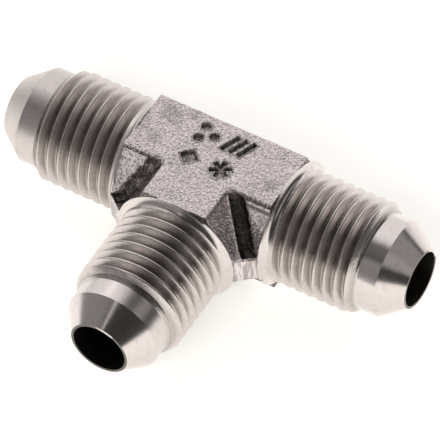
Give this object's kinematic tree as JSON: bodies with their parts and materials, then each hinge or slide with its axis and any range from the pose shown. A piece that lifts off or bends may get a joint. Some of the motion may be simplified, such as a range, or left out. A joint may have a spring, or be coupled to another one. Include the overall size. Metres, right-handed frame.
{
  "type": "flare tee fitting",
  "caption": "Forged T-shaped tube fitting with a male thread and a 37 degree flare cone on each arm and crossed through bores.",
  "frame": {"origin": "the point where the axis of the run bore and the axis of the branch bore cross", "axes": "+X along the run, -Y along the branch towards its nose, +Z square to the forged flats"},
  "size_m": [0.0488, 0.031, 0.014],
  "materials": {
    "forged_steel": "shot-blasted forging skin on the body, satin turned finish on the shanks, threads, necks and flare cones"
  },
  "bodies": {
    "root": {"tee_body": "forged_steel"}
  },
  "joints": []
}
